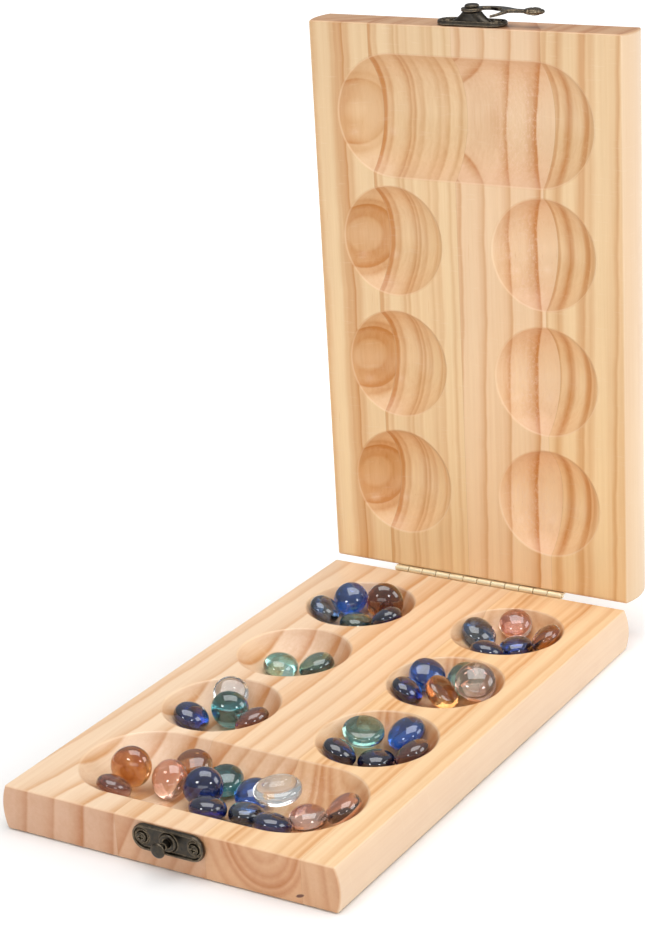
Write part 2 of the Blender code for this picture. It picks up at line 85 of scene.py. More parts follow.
LATCH_FROM_FACE = 5.75
LATCH_X = 3.0
PLATE_HALF_STRAIGHT = 10.2
PLATE_RADIUS = 5.2
PLATE_FLOOR = 0.8
PLATE_RIM_HEIGHT = 2.2
LATCH_SCREW_X = 11.2
HOOK_BOTTOM = 5.7
HOOK_THICKNESS = 1.4
RIVET_RADIUS = 1.5

LOWER_END_Y = LEAF_LENGTH / 2
AXIS_Y = LOWER_END_Y + AXIS_BEHIND
AXIS_Z = LEAF_THICKNESS + LEAF_GAP / 2
UPPER_FACE_Y = AXIS_Y + LEAF_GAP / 2
UPPER_END_Z = AXIS_Z + AXIS_BEHIND


# ---------------------------------------------------------------- meshes


def new_object(name, bm):
    """A mesh object from bm, with its seams closed and its faces turned outwards."""
    bmesh.ops.remove_doubles(bm, verts=bm.verts, dist=1e-5)
    bmesh.ops.recalc_face_normals(bm, faces=bm.faces)
    mesh = bpy.data.meshes.new(name)
    bm.to_mesh(mesh)
    bm.free()
    obj = bpy.data.objects.new(name, mesh)
    bpy.context.scene.collection.objects.link(obj)
    return obj


def baked(obj):
    """Applies the object's modifiers to its mesh."""
    shape = obj.evaluated_get(bpy.context.evaluated_depsgraph_get())
    mesh = bpy.data.meshes.new_from_object(shape)
    obj.modifiers.clear()
    obj.data = mesh


def cut(obj, tools, operation="DIFFERENCE"):
    """Cuts the tools out of obj, or joins them to it, and removes them."""
    for tool in tools:
        step = obj.modifiers.new("step", "BOOLEAN")
        step.operation = operation
        step.solver = "EXACT"
        step.object = tool
        baked(obj)
        bpy.data.objects.remove(tool, do_unlink=True)


def loft(name, rings):
    """A closed body through rings with equal numbers of points."""
    bm = bmesh.new()
    loops = [[bm.verts.new(point) for point in ring] for ring in rings]
    count = len(loops[0])
    for low, high in zip(loops, loops[1:]):
        for i in range(count):
            j = (i + 1) % count
            bm.faces.new((low[i], low[j], high[j], high[i]))
    bm.faces.new(loops[0])
    bm.faces.new(loops[-1])
    return new_object(name, bm)


def lathe(name, profile, sides, place, outline=None):
    """A closed body turned about w; outline(angle) scales the radius for shapes that aren't round."""
    bm = bmesh.new()
    loops = []
    turn = [2 * math.pi * i / sides for i in range(sides)]
    for radius, w in profile:
        if radius == 0:
            loops.append([bm.verts.new(place(0.0, 0.0, w))])
            continue
        ring = []
        for a in turn:
            r = radius * (outline(a) if outline else 1.0)
            ring.append(bm.verts.new(place(r * math.cos(a), r * math.sin(a), w)))
        loops.append(ring)
    for low, high in zip(loops, loops[1:]):
        for i in range(sides):
            j = (i + 1) % sides
            if len(low) == 1:
                bm.faces.new((low[0], high[j], high[i]))
            elif len(high) == 1:
                bm.faces.new((low[i], low[j], high[0]))
            else:
                bm.faces.new((low[i], low[j], high[j], high[i]))
    for loop in (loops[0], loops[-1]):
        if len(loop) > 1:
            bm.faces.new(loop)
    return new_object(name, bm)


def lower_leaf(x, v, w):
    return Vector((x, LOWER_END_Y - v, LEAF_THICKNESS - w))


def upper_leaf(x, v, w):
    return Vector((x, UPPER_FACE_Y + w, UPPER_END_Z + v))


def piece(obj, material, body, stands_for, angle=35.0, weighted=True):
    """Turns the mesh into metres, shades it smooth and hangs it on its body."""
    obj.data.transform(Matrix.Scale(MM, 4))
    obj.data.materials.clear()
    obj.data.materials.append(material)
    obj.data.shade_smooth()
    obj.data.set_sharp_from_angle(angle=math.radians(angle))
    if weighted:
        normals = obj.modifiers.new("normals", "WEIGHTED_NORMAL")
        normals.keep_sharp = True
        normals.weight = 90
    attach(obj, body)
    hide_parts(stands_for)
    return obj


# ---------------------------------------------------------------- boards


def leaf_section(inset):
    """Cross-section of a leaf as (x, w), pulled in by inset, with rounded long edges."""
    half = []
    ease = EDGE_EASE * 0.8

    def side(w):
        return HALF_WIDTH - SIDE_RADIUS + math.sqrt(SIDE_RADIUS**2 - (w - SIDE_FULL_DEPTH) ** 2)

    for i in range(5):
        a = math.pi / 2 * i / 4
        half.append((side(ease) - EDGE_EASE * (1 - math.sin(a)), ease * (1 - math.cos(a))))
    for i in range(1, 12):
        w = ease + (LEAF_THICKNESS - 2 * ease) * i / 12
        half.append((side(w), w))
    for i in range(5):
        a = math.pi / 2 * i / 4
        w = LEAF_THICKNESS - ease * (1 - math.sin(a))
        half.append((side(LEAF_THICKNESS - ease) - EDGE_EASE * (1 - math.cos(a)), w))
    points = []
    for x, w in half:
        points.append((x - inset, min(max(w, inset), LEAF_THICKNESS - inset)))
    return points + [(-x, w) for x, w in reversed(points)]


def edge_round(radius):
    """(distance from the end, inset) along a rounded edge, from the end face inwards."""
    points = []
    for i in range(6):
        a = math.pi / 2 * (0.16 + 0.84 * i / 5)
        points.append((radius * (1 - math.cos(a)), radius * (1 - math.sin(a))))
    first = points[0][0]
    return [(d - first, inset) for d, inset in points]


def stadium(half_straight, radius, w, arc_steps):
    """A long outline with two round ends, at height w."""
    points = []
    for side in (1, -1):
        for i in range(arc_steps + 1):
            angle = side * math.pi / 2 - math.pi * i / arc_steps
            points.append((side * half_straight + radius * math.cos(angle), radius * math.sin(angle), w))
    return points


def hollow_profile(rim_radius):
    """(radius, depth) of a round-bottomed hollow whose rim is eased into the face."""
    ball = (rim_radius**2 + HOLLOW_DEPTH**2) / (2 * HOLLOW_DEPTH)
    rim_angle = math.asin(rim_radius / ball)
    profile = [(rim_radius + RIM_EASE, -2.0)]
    inner = rim_angle * 0.965
    ir, iw = ball * math.sin(inner), ball * math.cos(inner) - ball + HOLLOW_DEPTH
    for i in range(6):
        t = i / 6
        r = (rim_radius + RIM_EASE) * (1 - t) ** 2 + 2 * t * (1 - t) * rim_radius + ir * t * t
        profile.append((r, iw * t * t))
    for i in range(HOLLOW_RINGS):
        angle = inner * (1 - i / HOLLOW_RINGS)
        profile.append((ball * math.sin(angle), ball * math.cos(angle) - ball + HOLLOW_DEPTH))
    return profile


def make_leaf(name, leaf, material, body, node):
    """A board with six round pits and a long store cut into its playing face."""
    stations = edge_round(HINGE_EDGE_ROUND)
    stations += [(LEAF_LENGTH - d, inset) for d, inset in reversed(edge_round(EDGE_EASE))]
    board = loft(name, [[leaf(x, v, w) for x, w in leaf_section(inset)] for v, inset in stations])
    tools = []
    for v in PIT_ROWS:
        for x in (-PIT_COLUMN, PIT_COLUMN):
            profile = hollow_profile(PIT_RIM_RADIUS) + [(0, HOLLOW_DEPTH)]
            tools.append(lathe("pit", profile, 96, lambda a, b, w, x=x, v=v: leaf(x + a, v + b, w)))
    rings = []
    for radius, w in hollow_profile(STORE_RIM_RADIUS) + [(0.3, HOLLOW_DEPTH)]:
        rings.append([leaf(x, STORE_V + b, w) for x, b, w in stadium(STORE_HALF_STRAIGHT, radius, w, 48)])
    tools.append(loft("store", rings))
    cut(board, tools)
    return piece(board, material, body, node, angle=32.0)


# ---------------------------------------------------------------- hinge and latch


def hinge_plate(name, leaf, first, material, body, node):
    """A plate with every second knuckle from the first, its bores and its sunk screw holes."""
    length = KNUCKLE_COUNT * KNUCKLE_PITCH
    start = -length / 2
    w_axis = -LEAF_GAP / 2
    inner, outer = SEAT_GAP, SEAT_GAP + PLATE_THICKNESS
    w_top = w_axis + KNUCKLE_RADIUS + 0.45

    def block(tag, x0, x1, w0, w1):
        corners = [(w0, -inner), (w1, -inner), (w1, -outer), (w0, -outer)]
        return loft(tag, [[leaf(x, v, w) for w, v in corners] for x in (x0, x1)])

    plate = block(name, start, -start, w_top, PLATE_REACH)
    parts, bores = [], []
    for i in range(first, KNUCKLE_COUNT, 2):
        x0 = start + i * KNUCKLE_PITCH + KNUCKLE_GAP / 2
        x1 = x0 + KNUCKLE_PITCH - KNUCKLE_GAP
        place = lambda a, b, w, x0=x0: leaf(x0 + w, -AXIS_BEHIND + a, w_axis + b)
        parts.append(block("tab", x0, x1, w_axis + 1.05, w_top + 0.3))
        ease = 0.15
        profile = [(KNUCKLE_RADIUS - ease, 0.0), (KNUCKLE_RADIUS, ease)]
        profile += [(KNUCKLE_RADIUS, x1 - x0 - ease), (KNUCKLE_RADIUS - ease, x1 - x0)]
        parts.append(lathe("knuckle", profile, 36, place))
        bores.append(lathe("bore", [(KNUCKLE_BORE, -0.1), (KNUCKLE_BORE, x1 - x0 + 0.1)], 28, place))
    cut(plate, parts, "UNION")
    for x in HINGE_SCREW_X:
        place = lambda a, b, w, x=x: leaf(x + a, w, HINGE_SCREW_DEPTH + b)
        sink = [(2.4, -outer - 0.1), (2.3, -outer), (1.5, -inner), (1.5, -inner + 0.2)]
        bores.append(lathe("sink", sink, 36, place))
    cut(plate, bores)
    return piece(plate, material, body, node)


def cross_recess(place, top, reach):
    """Two tapered blades that cut a cross into a screw head."""
    blades = []
    for along in (0, 1):
        rings = []
        for w, size, half in ((-0.3, reach * 1.1, 0.32), (0.75, reach * 0.45, 0.2)):
            ring = [(-size, -half), (size, -half), (size, half), (-size, half)]
            if along:
                ring = [(b, a) for a, b in ring]
            rings.append([place(a, b, top + w) for a, b in ring])
        blades.append(loft("blade", rings))
    return blades


def make_screw(name, profile, place, material, top, reach, body, node):
    screw = lathe(name, profile, 40, place)
    cut(screw, cross_recess(place, top, reach))
    return piece(screw, material, body, node)


def on_end(leaf, x0, w0):
    """Places points of the latch: a across, b away from the playing face, h out from the end."""
    return lambda a, b, h: leaf(x0 + a, LEAF_LENGTH + h, w0 + b)


def soften(obj, rounds):
    """Melts the parts of a casting into one skin with rounded edges, then thins the mesh."""
    step = obj.modifiers.new("skin", "REMESH")
    step.mode = "VOXEL"
    step.voxel_size = 0.13
    step = obj.modifiers.new("melt", "SMOOTH")
    step.factor = 0.5
    step.iterations = rounds
    step = obj.modifiers.new("thin", "DECIMATE")
    step.ratio = 0.22
    baked(obj)


def latch_plate(name, end, boss, material, body, node):
    """A cast oblong plate with a raised rim, a boss in the middle and a ring round each screw."""
    low = SEAT_GAP
    floor = low + PLATE_FLOOR
    levels = ((0.3, low), (0.0, low + 0.3), (0.05, 1.5), (0.2, 1.95), (0.5, PLATE_RIM_HEIGHT))
    levels += ((0.85, PLATE_RIM_HEIGHT - 0.05), (1.1, 1.75), (1.3, floor))
    rings = []
    for inset, h in levels:
        outline = stadium(PLATE_HALF_STRAIGHT, PLATE_RADIUS - inset, h, 24)
        rings.append([end(x, b, z) for x, b, z in outline])
    plate = loft(name, rings)
    turn = [2 * math.pi * i / 48 for i in range(48)]
    body_rings = [[end(p * math.cos(t), q * math.sin(t), h) for t in turn] for p, q, h in boss]
    cut(plate, [loft("boss", body_rings)], "UNION")
    rims = []
    for x in (-LATCH_SCREW_X, LATCH_SCREW_X):
        ring = [(2.9, floor - 0.2), (2.9, floor + 0.35), (2.6, floor + 0.55)]
        ring += [(2.2, floor + 0.35), (2.2, floor - 0.2)]
        rims.append(lathe("rim", ring, 36, lambda a, b, h, x=x: end(x + a, b, h)))
    cut(plate, rims, "UNION")
    tools = [lathe("bore", [(RIVET_RADIUS + 0.2, -0.2), (RIVET_RADIUS + 0.2, 7.0)], 36, end)]
    for x in (-LATCH_SCREW_X, LATCH_SCREW_X):
        place = lambda a, b, h, x=x: end(x + a, b, h)
        tools.append(lathe("hole", [(1.4, low - 0.2), (1.4, floor - 0.4), (2.1, floor + 0.7)], 36, place))
    cut(plate, tools)
    soften(plate, 3)
    return piece(plate, material, body, node, angle=50.0)


def extrude(name, outline, low, high, place):
    return loft(name, [[place(x, y, h) for x, y in outline] for h in (low, high)])


def rounded(outline):
    """Chaikin's corner cutting on a closed outline."""
    for _ in range(3):
        cut_points = []
        for (x0, y0), (x1, y1) in zip(outline, outline[1:] + outline[:1]):
            cut_points.append((0.8 * x0 + 0.2 * x1, 0.8 * y0 + 0.2 * y1))
            cut_points.append((0.2 * x0 + 0.8 * x1, 0.2 * y0 + 0.8 * y1))
        outline = cut_points
    return outline


def swing_hook(name, end, material, body, node):
    """The hook: an eye, a bowed bar, a horn that catches the peg and a ribbed knob."""
    low = HOOK_BOTTOM
    high = HOOK_BOTTOM + HOOK_THICKNESS
    bar = [(1.0, 4.1), (4.0, 5.4), (7.0, 6.0), (10.0, 5.9), (13.0, 5.1), (16.0, 3.7), (18.5, 2.1)]
    bar += [(20.2, 1.5), (24.8, 1.3), (24.8, -0.9), (20.2, -1.0), (18.9, -1.3), (17.6, -2.2)]
    bar += [(14.2, -2.2), (13.7, -1.2), (13.5, 0.0), (13.1, 1.1), (12.0, 1.55), (10.9, 1.7)]
    bar += [(9.2, 2.6), (7.0, 3.4), (4.6, 2.9), (2.5, 1.0)]
    hook = extrude(name, rounded(bar), low, high, end)
    eye = lathe("eye", [(4.2, low), (4.45, low + 0.25), (4.45, high - 0.25), (4.2, high)], 48, end)
    horn_path = [(15.9, -1.2, 1.7, 0.0), (15.9, -3.2, 1.35, -0.2), (14.95, -5.3, 0.95, -0.6)]
    horn_path += [(13.5, -6.9, 0.6, -1.0), (12.0, -7.9, 0.3, -1.3)]
    rings = []
    for x, y, half, drop in horn_path:
        along = Vector((x - 12.0, y + 1.0)).normalized()
        inner = Vector((x, y)) - along * half
        outer = Vector((x, y)) + along * half
        edge = 0.15
        ring = [(inner, low + edge), (outer, low + edge), (outer, high - edge), (inner, high - edge)]
        rings.append([end(p.x, p.y, h + drop) for p, h in ring])
    horn = loft("horn", rings)
    turn = [2 * math.pi * i / 40 for i in range(40)]
    middle = (low + high) / 2 + 0.1
    rings = []
    for i in range(41):
        t = i / 40
        along = 23.9 + 8.4 * t
        swell = math.sin(math.pi * min(1.0, 0.12 + 0.88 * t)) ** 0.45
        groove = 0.35 * sum(math.exp(-(((t - waist) / 0.035) ** 2)) for waist in (0.3, 0.78))
        half = max(0.4, 3.2 * swell - groove)
        tall = max(0.4, 1.5 * swell - groove * 0.7)
        rib = [1.0 - 0.10 * swell * math.cos(9 * a) for a in turn]
        ring = [(half * k * math.cos(a) + 0.2, middle + tall * k * math.sin(a)) for a, k in zip(turn, rib)]
        rings.append([end(along, across, up) for across, up in ring])
    knob = loft("knob", rings)
    cut(hook, [eye, horn, knob], "UNION")
    cut(hook, [lathe("bore", [(RIVET_RADIUS + 0.2, low - 1), (RIVET_RADIUS + 0.2, high + 1)], 40, end)])
    soften(hook, 4)
    return piece(hook, material, body, node, angle=50.0)


def headed_pin(name, end, shank, neck, material, body, node):
    """A turned pin with a narrower neck under a domed head."""
    profile = [(0, 0.5), (shank, 0.5), (shank, 4.5), (neck, 4.7), (neck, 7.35), (2.8, 7.35)]
    for i in range(9):
        a = math.pi / 2 * i / 8
        profile.append((1.7 + 1.3 * math.cos(a) if i < 8 else 1.6, 7.7 + 0.9 * math.sin(a)))
    profile += [(0.8, 8.75), (0, 8.8)]
    return piece(lathe(name, profile, 48, end), material, body, node, angle=40.0)


# ---------------------------------------------------------------- materials


def add(tree, kind, inputs=(), **settings):
    """A shader node with settings and inputs; an input is a socket to link or a value."""
    node = tree.nodes.new("ShaderNode" + kind)
    for key, value in settings.items():
        setattr(node, key, value)
    for key, value in dict(inputs).items():
        if isinstance(value, bpy.types.NodeSocket):
            tree.links.new(value, node.inputs[key])
        else:
            node.inputs[key].default_value = value
    return node


def calc(tree, operation, *values, clamp=False):
    node = add(tree, "Math", dict(enumerate(values)), operation=operation, use_clamp=clamp)
    return node.outputs[0]


def product(tree, *factors):
    total = factors[0]
    for factor in factors[1:]:
        total = calc(tree, "MULTIPLY", total, factor)
    return total


def rise(tree, value, low, high, level):
    """0 up to low, rising to level at high."""
    return add(tree, "MapRange", {0: value, 1: low, 2: high, 3: 0.0, 4: level}).outputs[0]


def noise(tree, vector, scale, detail=2.0, rough=0.5, distort=0.0):
    inputs = {"Vector": vector, "Scale": scale, "Detail": detail, "Roughness": rough, "Distortion": distort}
    return add(tree, "TexNoise", inputs).outputs["Fac"]


def ramp(tree, fac, stops):
    """A colour ramp; stops are (place, grey level or colour)."""
    node = add(tree, "ValToRGB", {0: fac})
    elements = node.color_ramp.elements
    while len(elements) < len(stops):
        elements.new(0.5)
    for element, (place, level) in zip(elements, stops):
        element.position = place
        element.color = (*level, 1.0) if isinstance(level, tuple) else (level, level, level, 1.0)
    return node.outputs["Color"]


def mix(tree, fac, a, b, blend="MIX"):
    node = tree.nodes.new("ShaderNodeMix")
    node.data_type = "RGBA"
    node.blend_type = blend
    for socket, value in ((node.inputs[0], fac), (node.inputs[6], a), (node.inputs[7], b)):
        if isinstance(value, bpy.types.NodeSocket):
            tree.links.new(value, socket)
        elif isinstance(value, tuple):
            socket.default_value = (*value, 1.0)
        else:
            socket.default_value = value
    return node.outputs[2]


def new_material(name):
    made = bpy.data.materials.new(name)
    made.use_nodes = True
    return made, made.node_tree, made.node_tree.nodes["Principled BSDF"]


EARLY = (0.885, 0.640, 0.385)
LATE = (0.610, 0.265, 0.072)
END_TINT = (0.80, 0.64, 0.58)
GLUE_LINE = 0.28
RESIN_POCKET = (56.5, 240.0, 14.6)


def stave_grain(tree, x, v, w, drift, stave):
    """Ring tone of one stave; its rings lean by slope into the board and by tilt along it."""
    u = calc(tree, "MULTIPLY_ADD", v, -stave["tilt"], x)
    if "centre" in stave:
        dx = calc(tree, "ADD", u, -stave["centre"])
        dw = calc(tree, "MULTIPLY_ADD", w, stave["slope"], 3.0)
        squares = calc(tree, "ADD", calc(tree, "MULTIPLY", dx, dx), calc(tree, "MULTIPLY", dw, dw))
        u = calc(tree, "SQRT", squares)
    else:
        lean = -stave["slope"]
        if "curl" in stave:
            near, rate = stave["curl"]
            short = calc(tree, "MAXIMUM", calc(tree, "SUBTRACT", near, x), 0.0)
            lean = calc(tree, "MULTIPLY_ADD", short, rate, lean)
        u = calc(tree, "MULTIPLY_ADD", w, lean, u)
    if "bend" in stave:
        past = calc(tree, "MAXIMUM", calc(tree, "ADD", v, -170.0), 0.0)
        u = calc(tree, "MULTIPLY_ADD", calc(tree, "MULTIPLY", past, past), stave["bend"], u)
    u = calc(tree, "ADD", u, drift)
    rings = stave["rings"]
    low, high = rings[0][0], rings[-1][0]
    share = rise(tree, u, low, high, 1.0)
    return ramp(tree, share, [((place - low) / (high - low), level) for place, level in rings])


def leaf_places(tree, is_upper):
    """x, v and w of the surface in millimetres, and its normal across and along the board."""
    source = add(tree, "TexCoord")
    place = add(tree, "SeparateXYZ", {0: source.outputs["Object"]}).outputs
    facing = add(tree, "SeparateXYZ", {0: source.outputs["Normal"]}).outputs
    x = calc(tree, "MULTIPLY", place[0], 1000.0)
    if is_upper:
        v = calc(tree, "MULTIPLY_ADD", place[2], 1000.0, -UPPER_END_Z)
        w = calc(tree, "MULTIPLY_ADD", place[1], 1000.0, -UPPER_FACE_Y)
        return x, v, w, facing[0], facing[2]
    v = calc(tree, "MULTIPLY_ADD", place[1], -1000.0, LOWER_END_Y)
    w = calc(tree, "MULTIPLY_ADD", place[2], -1000.0, LEAF_THICKNESS)
    return x, v, w, facing[0], facing[1]


def joined_staves(tree, x, v, w, drift, staves):
    """Ring tone, tint and glue lines of all the staves of a leaf."""
    late, tone, joint = None, None, 0.0
    for stave in staves:
        level = stave_grain(tree, x, v, w, drift, stave)
        if late is None:
            late, tone = level, stave["tone"]
            continue
        side = calc(tree, "GREATER_THAN", x, stave["start"])
        late = mix(tree, side, late, level)
        tone = mix(tree, side, tone, stave["tone"])
        gap = calc(tree, "ABSOLUTE", calc(tree, "SUBTRACT", x, stave["start"]))
        joint = calc(tree, "MAXIMUM", joint, calc(tree, "LESS_THAN", gap, GLUE_LINE / 2))
    return add(tree, "RGBToBW", {0: late}).outputs[0], tone, joint


def resin_pocket(tree, colour, x, v, w, streak, middle):
    """A dark pocket of resin, drawn out along the grain."""
    across, along, deep = (calc(tree, "ADD", value, -at) for value, at in zip((x, v, w), middle))
    lean = calc(tree, "MULTIPLY_ADD", across, 0.35, deep)
    spread = {0: calc(tree, "MULTIPLY", across, 0.38), 1: lean, 2: calc(tree, "MULTIPLY", along, 0.3)}
    spread = add(tree, "CombineXYZ", spread).outputs[0]
    size = add(tree, "VectorMath", {0: spread}, operation="LENGTH").outputs["Value"]
    size = calc(tree, "MULTIPLY_ADD", streak, 0.5, size)
    return mix(tree, ramp(tree, size, [(0.75, 1.0), (1.0, 0.0)]), colour, (0.14, 0.045, 0.02))


def wood(name, is_upper, staves, pocket=None):
    """Edge-glued pine: each stave has its own rings, and all run along the board's length."""
    made, tree, shader = new_material(name)
    x, v, w, facing_x, along = leaf_places(tree, is_upper)

    def stretched(kx, kw, kv):
        scaled = (calc(tree, "MULTIPLY", value, k) for value, k in ((x, kx), (w, kw), (v, kv)))
        return add(tree, "CombineXYZ", dict(enumerate(scaled))).outputs[0]

    drift = calc(tree, "MULTIPLY_ADD", noise(tree, stretched(0.25, 0.0, 1.0), 0.012, 1.0), 3.2, -1.6)
    ripple = calc(tree, "MULTIPLY_ADD", noise(tree, stretched(0.25, 0.5, 1.0), 0.055, 2.0), 2.2, -1.1)
    late, tone, joint = joined_staves(tree, x, v, w, calc(tree, "ADD", drift, ripple), staves)
    streak = noise(tree, stretched(1.0, 1.0, 0.02), 0.75, 4.0, 0.55)
    fine = noise(tree, stretched(1.0, 1.0, 0.03), 3.2, 3.0, 0.6)
    broad = noise(tree, stretched(1.0, 0.8, 0.03), 0.13, 2.0)
    cloud = noise(tree, stretched(1.0, 1.0, 0.3), 0.04, 2.0)

    # where the surface is a hollow's, and how deep in it
    outer = calc(tree, "GREATER_THAN", calc(tree, "ABSOLUTE", x), HALF_WIDTH - 11.0)
    end_on = calc(tree, "GREATER_THAN", calc(tree, "ABSOLUTE", along), 0.97)
    under = calc(tree, "GREATER_THAN", w, HOLLOW_DEPTH + 1.5)
    outside = calc(tree, "MAXIMUM", calc(tree, "MAXIMUM", outer, end_on), under)
    hollow = calc(tree, "SUBTRACT", 1.0, outside)
    inside = product(tree, rise(tree, w, 0.6, 6.0, 1.0), hollow)

    # rings show more in the hollows, partly as painted shade in the recesses, and less in the left end of the
    # upper store
    late = calc(tree, "MULTIPLY_ADD", calc(tree, "ADD", streak, -0.5), 0.34, late)
    late = product(tree, late, calc(tree, "MULTIPLY_ADD", inside, 0.30 if is_upper else 0.8, 1.0))
    if is_upper:
        first_stave = calc(tree, "LESS_THAN", x, staves[1]["start"])
        pale = product(tree, rise(tree, v, 172.0, 186.0, 0.5), inside, first_stave)
        late = product(tree, late, calc(tree, "SUBTRACT", 1.0, pale))
    late = calc(tree, "MULTIPLY_ADD", calc(tree, "ADD", broad, -0.5), 0.40, late, clamp=True)
    colour = mix(tree, late, EARLY, LATE)

    # fine and cloudy tone; in the upper leaf, painted light that brightens the hollows and painted shade that
    # darkens it towards its far end
    bright = calc(tree, "MULTIPLY_ADD", fine, 0.09, 0.955)
    bright = product(tree, bright, calc(tree, "MULTIPLY_ADD", cloud, 0.14, 0.93))
    blue = bright
    if is_upper:
        # painted light: the upper leaf's hollows a little brighter
        bright = product(tree, bright, calc(tree, "MULTIPLY_ADD", inside, 0.08, 1.0))
        # painted shade: the upper leaf darker and browner towards its far end
        blue = product(tree, bright, calc(tree, "MULTIPLY_ADD", v, -0.0009, 1.045))
        bright = product(tree, bright, calc(tree, "MULTIPLY_ADD", v, -0.0011, 1.10))
    bright_rgb = add(tree, "CombineColor", {0: bright, 1: bright, 2: blue}).outputs[0]
    colour = mix(tree, 1.0, colour, bright_rgb, "MULTIPLY")
    colour = mix(tree, 1.0, colour, tone, "MULTIPLY")

    # cut grain is browner in the lower leaf's hollows, partly as painted shade, and painted shade darkens
    # most the walls that face left
    if not is_upper:
        # partly cut grain, partly painted shade: the lower leaf's hollows browner
        colour = mix(tree, product(tree, inside, 0.22), colour, (0.66, 0.42, 0.26))
        # painted shade on the hollow walls that face left
        turned = calc(tree, "MULTIPLY_ADD", facing_x, -1.9, -0.4, clamp=True)
        left_wall_shade = product(tree, turned, calc(tree, "MULTIPLY", w, 0.5, clamp=True), hollow, 0.92)
        colour = mix(tree, left_wall_shade, colour, (0.51, 0.19, 0.05))

    # pale bars across the grain, short dark flecks, and torn grain in the right hollows
    cross = noise(tree, stretched(0.12, 0.12, 1.0), 0.9, 2.0, 0.5)
    cross = product(tree, ramp(tree, cross, [(0.62, 0.0), (0.72, 1.0)]), 0.10)
    colour = mix(tree, cross, colour, (0.93, 0.76, 0.56))
    fleck = noise(tree, stretched(1.0, 1.0, 0.045), 1.9, 1.0, 0.4)
    fleck = product(tree, ramp(tree, fleck, [(0.71, 0.0), (0.78, 1.0)]), 0.22)
    colour = mix(tree, fleck, colour, LATE)
    torn = noise(tree, stretched(1.0, 1.0, 0.5), 0.9, 5.0, 0.8)
    torn = ramp(tree, torn, [(0.53, 0.0), (0.57, 1.0)])
    patch = add(tree, "MapRange", {0: calc(tree, "ABSOLUTE", calc(tree, "ADD", x, -20.0)), 1: 15.0, 2: 6.0})
    torn = product(tree, torn, patch.outputs[0], inside, 0.28)
    colour = mix(tree, torn, colour, (0.95, 0.70, 0.54))

    # painted highlight along the rims, painted shade on the upper leaf's long sides and a painted pale sheen
    # on the lower leaf's, the tint of the end grain, and the glue lines
    # painted highlight along the hollows' eased rims and the board's eased edges
    rim_highlight = ramp(tree, w, [(0.03, 0.0), (0.2, 1.0), (0.45, 1.0), (0.7, 0.0)])
    colour = mix(tree, product(tree, rim_highlight, 0.25), colour, (0.99, 0.82, 0.58))
    # painted shade darkens the upper leaf's long sides; a painted pale sheen lightens the lower leaf's
    aside = calc(tree, "POWER", calc(tree, "ABSOLUTE", facing_x), 1.0 if is_upper else 2.0)
    aside = product(tree, aside, outer, 0.6 if is_upper else 0.38)
    colour = mix(tree, aside, colour, (0.63, 0.47, 0.32) if is_upper else (0.88, 0.75, 0.61))
    end_share = calc(tree, "POWER", calc(tree, "ABSOLUTE", along), 1.6)
    colour = mix(tree, end_share, colour, mix(tree, 1.0, colour, END_TINT, "MULTIPLY"))
    colour = mix(tree, product(tree, joint, 0.22), colour, (0.42, 0.22, 0.09))
    if pocket:
        colour = resin_pocket(tree, colour, x, v, w, streak, pocket)

    tree.links.new(colour, shader.inputs["Base Color"])
    tree.links.new(calc(tree, "MULTIPLY_ADD", streak, 0.16, 0.38), shader.inputs["Roughness"])
    height = calc(tree, "MULTIPLY_ADD", fine, 0.4, calc(tree, "MULTIPLY_ADD", torn, 1.5, streak))
    bump = add(tree, "Bump", {"Strength": 0.10, "Distance": 0.0002, "Height": height})
    tree.links.new(bump.outputs[0], shader.inputs["Normal"])
    shader.inputs["Coat Weight"].default_value = 0.35
    shader.inputs["Coat Roughness"].default_value = 0.20
    return made


def metal(name, dark, bright, wear, rough, grain_scale, bare=1.0, mottle=1.0):
    """A cast or plated metal: dark in its recesses, worn bright along its edges."""
    made, tree, shader = new_material(name)
    source = add(tree, "TexCoord")
    place = source.outputs["Object"]
    spots = noise(tree, place, grain_scale, 4.0, 0.6)
    geometry = add(tree, "NewGeometry")
    bevel = add(tree, "Bevel", {"Radius": 0.0006}, samples=6)
    normals = {0: bevel.outputs[0], 1: geometry.outputs["Normal"]}
    same = add(tree, "VectorMath", normals, operation="DOT_PRODUCT").outputs["Value"]
    edge = calc(tree, "SUBTRACT", 1.0, same)
    edge = ramp(tree, edge, [(0.002, 0.0), (0.03, 1.0)])
    share = calc(tree, "MULTIPLY", edge, calc(tree, "MULTIPLY_ADD", spots, 1.4, -0.15), clamp=True)
    share = calc(tree, "MULTIPLY", share, wear)
    stain = tuple(0.55 * d + 0.12 * b for d, b in zip(dark, bright))
    base = mix(tree, ramp(tree, spots, [(0.35, 0.0), (0.7, mottle)]), dark, stain)
    colour = mix(tree, share, base, bright)
    tree.links.new(colour, shader.inputs["Base Color"])
    shader.inputs["Metallic"].default_value = bare
    tree.links.new(calc(tree, "MULTIPLY_ADD", spots, 0.25, rough - 0.12), shader.inputs["Roughness"])
    bump = add(tree, "Bump", {"Strength": 0.15, "Distance": 0.0001, "Height": spots})
    tree.links.new(bump.outputs[0], shader.inputs["Normal"])
    return made


def glass(name, tint, swirl):
    """Cast glass with a swirl of a second colour through it."""
    made, tree, shader = new_material(name)
    place = add(tree, "TexCoord").outputs["Object"]
    flow = noise(tree, place, 90.0, 2.0, 0.5, 1.6)
    band = ramp(tree, flow, [(0.35, 0.0), (0.62, 1.0)])
    tree.links.new(mix(tree, band, tint, swirl), shader.inputs["Base Color"])
    specks = noise(tree, place, 700.0, 2.0)
    tree.links.new(calc(tree, "MULTIPLY_ADD", specks, 0.03, 0.01), shader.inputs["Roughness"])
    bump = add(tree, "Bump", {"Strength": 0.25, "Distance": 0.0003, "Height": noise(tree, place, 160.0, 1.0)})
    tree.links.new(bump.outputs[0], shader.inputs["Normal"])
    shader.inputs["Transmission Weight"].default_value = 0.96
    shader.inputs["IOR"].default_value = 1.46
    shader.inputs["Coat Weight"].default_value = 1.0
    shader.inputs["Coat IOR"].default_value = 1.65
    shader.inputs["Coat Roughness"].default_value = 0.03
    return made


